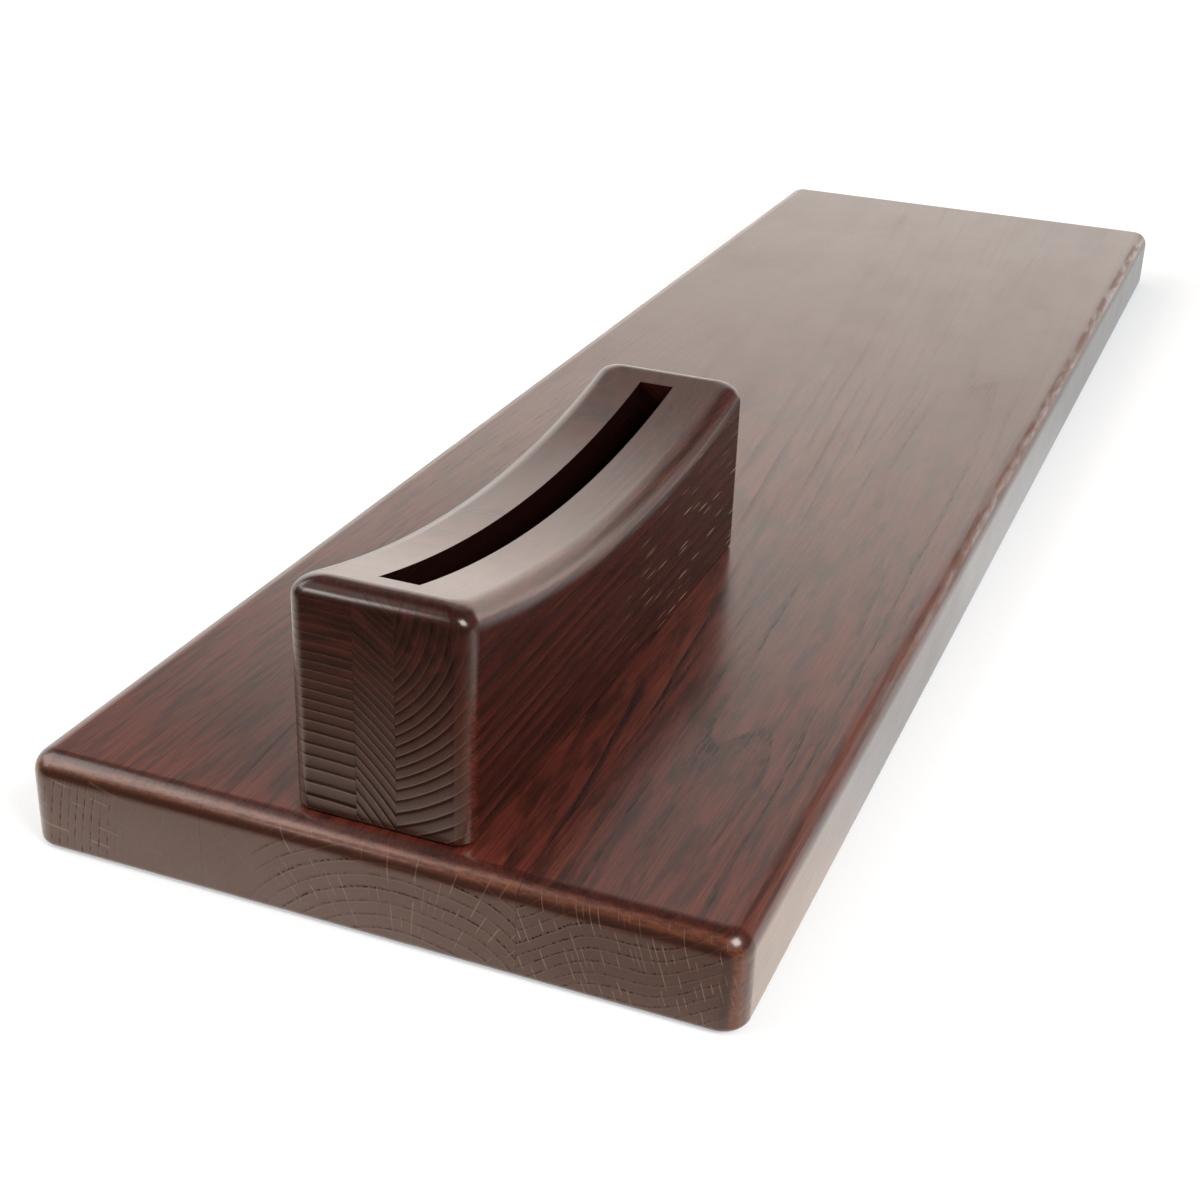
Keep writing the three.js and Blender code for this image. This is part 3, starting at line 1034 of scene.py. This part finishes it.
def cradle_blank(sizes, facets):
    """One block with eased foot, rounded corners and top edges, and a hollowed top."""
    half = (CRADLE_HIGH - CRADLE_LOW) / 2
    middle = (CRADLE_LOW + CRADLE_HIGH) / 2
    blank = cradle_outline(sizes, facets, half, middle)
    choose("FACE", lambda face: True)
    floor = BOARD_HIGH.z
    last = (floor, 0.0)
    ease_steps = facets // 2
    for step in range(ease_steps + 1):
        turn = math.pi / 2 * step / ease_steps
        last = raise_ring(floor + sizes.bottom_ease * (1 - math.cos(turn)),
                          sizes.bottom_ease * (1 - math.sin(turn)), last, half, middle)
    wall_top = floor + sizes.low_height - sizes.top_round
    for step in range(facets + 1):
        turn = math.pi / 2 * step / facets
        last = raise_ring(wall_top + sizes.top_round * math.sin(turn),
                          sizes.top_round * (1 - math.cos(turn)), last, half, middle)
    slot_front = CRADLE_LOW.y + sizes.slot_end_wall
    slot_rear = CRADLE_HIGH.y - sizes.slot_end_wall
    stations = 4 * facets
    for step in range(stations + 1):
        place = slot_front + (slot_rear - slot_front) * step / stations
        bpy.ops.mesh.select_all(action="SELECT")
        bpy.ops.mesh.bisect(plane_co=(0, place, 0), plane_no=(0, 1, 0))
    over_wall = wall_top - HAIR
    form = bmesh.from_edit_mesh(blank.data)
    rows = sorted({round(vertex.co.y, 6) for vertex in form.verts if vertex.co.z > over_wall})
    for row in rows:
        choose("VERT", lambda vertex: vertex.co.z > over_wall
               and round(vertex.co.y, 6) == row)
        bpy.ops.transform.translate(value=(0, 0, hollow_rise(sizes, row)))
    end_edit()
    return blank


def slot_cutter(sizes):
    """A block as long as the slot that reaches from the slot's floor through the top."""
    low = Vector((SLOT_LEFT - sizes.slot_end_wall, CRADLE_LOW.y + sizes.slot_end_wall,
                  BOARD_HIGH.z + sizes.slot_floor))
    high = Vector((SLOT_RIGHT + sizes.slot_end_wall, CRADLE_HIGH.y - sizes.slot_end_wall,
                   2 * CRADLE_HIGH.z))
    return block("slot_cutter", low, high)


# The screws. The thread's root is a share of its pitch, and its crest is a share of its root

HEAD_BEVEL = 0.15 * MM
OVERLAP = 0.2 * MM
SCREW_FACETS = 48
THREAD_STEPS = 20
TIP_SLICES = 24
DRIVE_TAPER = 0.45
THREAD_ROOT = 0.4
THREAD_CREST = 0.12


def turned(name, place, profile, steps):
    """A closed solid of revolution about an upright axis, from radii and heights."""
    deselect_all()
    radius, height = profile[0]
    bpy.ops.mesh.primitive_circle_add(
        vertices=steps, radius=radius, fill_type="NGON", location=(place.x, place.y, height))
    made = bpy.context.object
    made.name = name
    settle(made)
    start_edit(made)
    bpy.ops.mesh.select_all(action="SELECT")
    for next_radius, next_height in profile[1:]:
        bpy.ops.mesh.extrude_region_move(
            TRANSFORM_OT_translate={"value": (0, 0, next_height - height)})
        factor = next_radius / radius
        bpy.ops.transform.resize(
            value=(factor, factor, 1), center_override=(place.x, place.y, next_height))
        radius, height = next_radius, next_height
    bpy.ops.mesh.select_all(action="SELECT")
    bpy.ops.mesh.normals_make_consistent(inside=False)
    end_edit()
    return made


def screw_hole(place, low, high, sizes, steps):
    """The shape of a countersunk clearance hole, from below the board up past the point."""
    gap = sizes.hole_clearance
    head = (high.x - low.x) / 2 + gap
    shank = sizes.shank_radius + gap
    edge = low.z + sizes.head_edge + gap
    top = high.z + sizes.pilot_gap
    return turned("screw_hole", place, (
        (head, BOARD_LOW.z - MM), (head, edge), (shank, edge + head - shank),
        (shank, top - sizes.tip_length), (sizes.tip_radius + gap, top)), steps)


def drive_wing(place, low, sizes, turn):
    """One tapering bar of the cross that a driver fits."""
    deselect_all()
    bpy.ops.mesh.primitive_cube_add(size=1, location=(0, 0, 0.5))
    wing = bpy.context.object
    settle(wing)
    start_edit(wing)
    choose("VERT", lambda vertex: vertex.co.z > 0.5)
    bpy.ops.transform.resize(value=(DRIVE_TAPER, DRIVE_TAPER, 1), center_override=(0, 0, 1))
    end_edit()
    wing.scale = (sizes.drive_width, sizes.drive_slot, sizes.drive_depth + OVERLAP)
    wing.rotation_euler.z = turn
    wing.location = (place.x, place.y, low.z - OVERLAP)
    settle(wing)
    return wing


def thread_ridge(place, low, high, sizes):
    """The thread as a ribbon wound round the core, tapering with the point."""
    deselect_all()
    depth = sizes.shank_radius - sizes.core_radius
    start = low.z + sizes.shank_length + sizes.pitch / 2
    bpy.ops.mesh.primitive_plane_add(size=1, rotation=(math.pi / 2, 0, 0))
    ridge = bpy.context.object
    ridge.name = "thread"
    ridge.scale = (depth + OVERLAP, THREAD_ROOT * sizes.pitch, 1)
    settle(ridge)
    start_edit(ridge)
    choose("VERT", lambda vertex: vertex.co.x > 0)
    bpy.ops.transform.resize(value=(1, 1, THREAD_CREST), center_override=(0, 0, 0))
    bpy.ops.mesh.select_all(action="SELECT")
    middle = (sizes.core_radius + sizes.shank_radius - OVERLAP) / 2
    bpy.ops.transform.translate(value=(middle, 0, start))
    bpy.ops.mesh.delete(type="ONLY_FACE")
    end_edit()
    turns = int((high.z - start) / sizes.pitch - 0.6)
    apply_modifier(ridge, "SCREW", axis="Z", angle=math.tau, steps=THREAD_STEPS,
                   render_steps=THREAD_STEPS, screw_offset=sizes.pitch, iterations=turns,
                   use_merge_vertices=True)
    start_edit(ridge)
    choose("EDGE", lambda edge: edge.is_boundary
           and edge.verts[0].co.z < start + sizes.pitch / 2)
    bpy.ops.mesh.edge_face_add()
    choose("EDGE", lambda edge: edge.is_boundary)
    bpy.ops.mesh.edge_face_add()
    cone = high.z - sizes.tip_length
    for step in range(TIP_SLICES):
        floor = cone + sizes.tip_length * step / TIP_SLICES
        ceiling = cone + sizes.tip_length * (step + 1) / TIP_SLICES
        share = 1 - (step + 1) / TIP_SLICES
        limit = sizes.tip_radius + (sizes.shank_radius - sizes.tip_radius) * share
        form = bmesh.from_edit_mesh(ridge.data)
        if any(floor <= vertex.co.z < ceiling for vertex in form.verts):
            factor = limit / sizes.shank_radius
            choose("VERT", lambda vertex: floor <= vertex.co.z < ceiling)
            bpy.ops.transform.resize(value=(factor, factor, 1), center_override=(0, 0, floor))
    bpy.ops.mesh.select_all(action="SELECT")
    bpy.ops.mesh.normals_make_consistent(inside=False)
    end_edit()
    ridge.location = (place.x, place.y, 0)
    settle(ridge)
    return ridge


def drill_screw_holes(piece, settings):
    """Takes both screw holes out of a piece."""
    for _, node in SCREWS:
        low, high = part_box(node)
        hole = screw_hole((low + high) / 2, low, high, settings.screw, 4 * settings.facets)
        cut_with(piece, hole)


def wood_screw(name, low, high, sizes):
    """A countersunk screw, point up, with a cross recess and a thread."""
    place = (low + high) / 2
    head = (high.x - low.x) / 2
    edge = low.z + sizes.head_edge
    neck = low.z + sizes.shank_length
    screw = turned(name, place, (
        (head - HEAD_BEVEL, low.z), (head, low.z + HEAD_BEVEL), (head, edge),
        (sizes.shank_radius, edge + head - sizes.shank_radius), (sizes.shank_radius, neck),
        (sizes.core_radius, neck + sizes.pitch / 2),
        (sizes.core_radius, high.z - sizes.tip_length), (sizes.tip_radius, high.z)),
        SCREW_FACETS)
    for turn in (0, math.pi / 2):
        cut_with(screw, drive_wing(place, low, sizes, turn))
    ridge = thread_ridge(place, low, high, sizes)
    make_active(screw)
    ridge.select_set(True)
    bpy.ops.object.join()
    return screw


# The studio


def softbox(name, aim, bearing, height, distance, size, power):
    """A lamp facing its aim, at a bearing from +Y towards +X and a height in degrees."""
    lamp = bpy.data.lights.new(name, "AREA")
    lamp.shape = "RECTANGLE"
    lamp.size, lamp.size_y = size
    lamp.energy = power
    lamp.color = LAMP_WARMTH
    turn, lift = math.radians(bearing), math.radians(height)
    away = Vector((math.sin(turn) * math.cos(lift), math.cos(turn) * math.cos(lift),
                   math.sin(lift)))
    made = bpy.data.objects.new(name, lamp)
    made.location = aim + away * distance
    made.rotation_euler = (-away).to_track_quat("-Z", "Y").to_euler()
    bpy.context.scene.collection.objects.link(made)
    return made


def mirrored_room(bench, away):
    """Brightness of the room that the varnish mirrors, by bearing and height in degrees."""
    bearing = bench.math("DEGREES", bench.math("ARCTAN2", away["X"], away["Y"]))
    height = bench.math("DEGREES", bench.math("ARCSINE", away["Z"]))
    wall = bench.fall(bench.magnitude(bench.plus(bearing, 33.0)), 54.0, 64.0)
    bright = bench.plus(bench.smooth(height, 0.0, 12.0, 1.5, 1.11),
                        bench.smooth(height, 17.0, 22.0, 0.0, 0.12))
    dark = bench.smooth(away["Y"], -0.5, 0.0, 0.05, 0.12)
    window = bench.times(bench.band(bearing, 17.0, 25.0, 28.0, 33.0),
                         bench.fall(height, 10.0, 19.0))
    low = bench.plus(bench.line(wall, bench.minus(bright, dark), dark), window)

    right_side = bench.smooth(bearing, 4.0, 18.0)
    ceiling = bench.plus(bench.smooth(bearing, -40.0, -24.0, 0.08, 0.40),
                         bench.smooth(height, 34.0, 46.0, 0.0, 0.1))
    high = bench.times(ceiling, bench.line(right_side, -0.72, 1.0),
                       bench.smooth(height, 50.0, 62.0, 1.0, 0.2))
    lift = bench.plus(bench.smooth(bearing, -38.0, -26.0, 4.0, 0.0),
                      bench.times(right_side, 9.0))
    rise = bench.smooth(bench.plus(height, lift), 24.0, 33.0)
    return bench.plus(bench.times(high, rise), bench.times(low, bench.rest(rise)))


def studio_world(scene):
    """White to the camera, a soft sky for the light, and a room with a bright wall mirrored."""
    world = bpy.data.worlds.new("studio")
    scene.world = world
    world.use_nodes = True
    world.node_tree.nodes.clear()
    bench = NodeBench(world.node_tree)
    away = bench.separate(bench.node("ShaderNodeTexCoord").outputs["Generated"])
    soft = bench.smooth(away["Y"], -0.7, 0.3, 0.20, 0.80)
    rays = bench.node("ShaderNodeLightPath").outputs
    level = bench.plus(
        bench.times(rays["Is Diffuse Ray"], soft),
        bench.times(bench.rest(rays["Is Diffuse Ray"]), mirrored_room(bench, away)))
    sky = bench.mix(1.0, bench.combine(level, level, level), SKY_WARMTH, blend="MULTIPLY")
    shader = bench.node("ShaderNodeBackground")
    bench.feed(shader.inputs["Color"], bench.mix(rays["Is Camera Ray"], sky, WHITE))
    bench.finish(shader, "ShaderNodeOutputWorld")


def mirrored_floor(bench, place):
    """The floor as the varnish mirrors it: bright behind and dim in front of the stand."""
    front = bench.plus(place["Y"], BOARD_HIGH.y)
    along = bench.plus(bench.smooth(place["Y"], -0.22, -0.12, 1.14, 0.82),
                       bench.smooth(place["Y"], -0.10, -0.04, 0.0, 0.10),
                       bench.smooth(place["Y"], -0.04, 0.14, 0.0, -0.24),
                       bench.smooth(place["Y"], 0.6, 1.6, 0.0, 0.85))
    to_right = bench.smooth(place["X"], -0.02, 0.06, 1.0, 0.55)
    in_front = bench.smooth(front, -0.008, 0.004)
    across = bench.plus(bench.times(to_right, bench.rest(in_front)), in_front)
    near_edge = bench.math("POWER", bench.smooth(front, -0.115, 0.0), 2.2)
    cool = bench.math("MINIMUM", bench.smooth(place["Y"], -0.22, -0.15),
                      bench.fall(place["Y"], 0.3, 0.6))
    mirror = bench.node("ShaderNodeEmission")
    bench.feed_all(
        mirror.inputs, Color=bench.mix(cool, PAPER_MIRRORED_WARM, PAPER_MIRRORED_COOL),
        Strength=bench.times(along, across, bench.line(near_edge, 0.985, 0.015)))
    return mirror


def floor_material():
    """Pale paper that shows as white and keeps a faint shadow round the stand."""
    material, bench = new_material("white_paper")
    rays = bench.node("ShaderNodeLightPath").outputs
    mirrored = bench.math("ADD", rays["Is Glossy Ray"], rays["Is Transmission Ray"], clamp=True)
    place = bench.separate(bench.node("ShaderNodeTexCoord").outputs["Object"])
    reach = bench.most(bench.magnitude(place["X"]),
                       bench.minus(bench.magnitude(place["Y"]), 0.18))
    glow = bench.node("ShaderNodeEmission")
    glow.inputs["Color"].default_value = PAPER_GLOW
    bench.feed(glow.inputs["Strength"], bench.times(
        rays["Is Camera Ray"], bench.smooth(reach, 0.08, 0.22, 0.47, 0.80)))
    paper = bench.node("ShaderNodeBsdfDiffuse")
    paper.inputs["Color"].default_value = PAPER
    lit = bench.node("ShaderNodeAddShader")
    both = bench.node("ShaderNodeMixShader")
    for socket, value in zip((*lit.inputs, *both.inputs), (
            glow.outputs[0], paper.outputs[0], mirrored, lit.outputs[0],
            mirrored_floor(bench, place).outputs[0])):
        bench.feed(socket, value)
    bench.finish(both)
    return material


# Operators


class STAND_OT_camera(bpy.types.Operator):
    """Sets the camera where the photographer stood"""

    bl_idname = "stand.camera"
    bl_label = "Set camera"

    def execute(self, context):
        lens = bpy.data.cameras.new("camera")
        for name, value in LENS.items():
            setattr(lens, name, value)
        camera = bpy.data.objects.new("camera", lens)
        camera.location = CAMERA_PLACE
        camera.rotation_euler = [math.radians(angle) for angle in CAMERA_TURN]
        context.scene.collection.objects.link(camera)
        context.scene.camera = camera
        return {"FINISHED"}


class STAND_OT_stage(bpy.types.Operator):
    """Lays the white floor and sets the soft studio light"""

    bl_idname = "stand.stage"
    bl_label = "Set stage"

    def execute(self, context):
        deselect_all()
        bpy.ops.mesh.primitive_plane_add(size=FLOOR_WIDTH, location=(0, 0, -FLOOR_DROP))
        floor = context.object
        floor.name = "paper_floor"
        floor.data.materials.append(floor_material())
        studio_world(context.scene)
        front = Vector((0, BOARD_LOW.y, BOARD_HIGH.z))
        softbox("softbox_left", front, bearing=-107, height=41, distance=1.2,
                size=(1.07, 0.85), power=8.0)
        softbox("softbox_right", front, bearing=112, height=40, distance=0.9,
                size=(0.40, 0.40), power=5.6)
        crest = Vector((CRADLE_LOW.x + 5 * MM, CRADLE_LOW.y, CRADLE_HIGH.z - 3 * MM))
        strip = softbox("strip_front", crest, bearing=-148, height=24, distance=0.15,
                        size=(0.05, 0.06), power=0.0014)
        strip.data.spread = math.radians(24)
        strip.visible_diffuse = False
        context.scene.view_settings.view_transform = "Standard"
        return {"FINISHED"}


class STAND_OT_board(bpy.types.Operator):
    """Models the board and saws it into its three staves"""

    bl_idname = "stand.board"
    bl_label = "Build board"

    def execute(self, context):
        settings = context.scene.stand
        blank = board_blank(settings.board, settings.facets)
        for name, node, left, right in STAVES:
            stave = saw_apart(blank, name, left, right)
            if name == "stave_middle":
                drill_screw_holes(stave, settings)
            finish_piece(stave, node, oak_material(name, left, right))
        delete_piece(blank)
        return {"FINISHED"}


class STAND_OT_cradle(bpy.types.Operator):
    """Models the cradle, saws it into its plies and cuts the slot"""

    bl_idname = "stand.cradle"
    bl_label = "Build cradle"

    def execute(self, context):
        settings = context.scene.stand
        blank = cradle_blank(settings.cradle, settings.facets)
        for name, node, left, right in PLIES:
            ply = saw_apart(blank, name, left, right)
            if name == "ply_core":
                cut_with(ply, slot_cutter(settings.cradle))
                drill_screw_holes(ply, settings)
            finish_piece(ply, node, oak_material(name, left, right))
        delete_piece(blank)
        return {"FINISHED"}


class STAND_OT_screws(bpy.types.Operator):
    """Models the two countersunk screws under the cradle"""

    bl_idname = "stand.screws"
    bl_label = "Build screws"

    def execute(self, context):
        steel = screw_material()
        for name, node in SCREWS:
            screw = wood_screw(name, *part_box(node), context.scene.stand.screw)
            finish_piece(screw, node, steel)
        return {"FINISHED"}


class STAND_PT_parts(bpy.types.Panel):
    """Lists the stand's parts and their sizes"""

    bl_idname = "STAND_PT_parts"
    bl_label = "Hatchet display stand"
    bl_space_type = "VIEW_3D"
    bl_region_type = "UI"
    bl_category = "Stand"

    def draw(self, context):
        settings = context.scene.stand
        for operator in OPERATORS:
            self.layout.operator(operator.bl_idname)
        for part in ("board", "cradle", "screw", "oak"):
            box = self.layout.box()
            box.label(text=part.capitalize())
            group = getattr(settings, part)
            for name in group.__annotations__:
                box.prop(group, name)


OPERATORS = (STAND_OT_camera, STAND_OT_stage, STAND_OT_board, STAND_OT_cradle,
             STAND_OT_screws)
CLASSES = (BoardSizes, CradleSizes, ScrewSizes, OakColours, StandSettings,
           *OPERATORS, STAND_PT_parts)


def register():
    for made in CLASSES:
        bpy.utils.register_class(made)
    bpy.types.Scene.stand = PointerProperty(type=StandSettings)


def unregister():
    del bpy.types.Scene.stand
    for made in reversed(CLASSES):
        bpy.utils.unregister_class(made)


def main():
    register()
    bpy.ops.stand.camera()
    bpy.ops.stand.stage()
    bpy.ops.stand.board()
    bpy.ops.stand.cradle()
    bpy.ops.stand.screws()


if __name__ == "__main__":
    main()
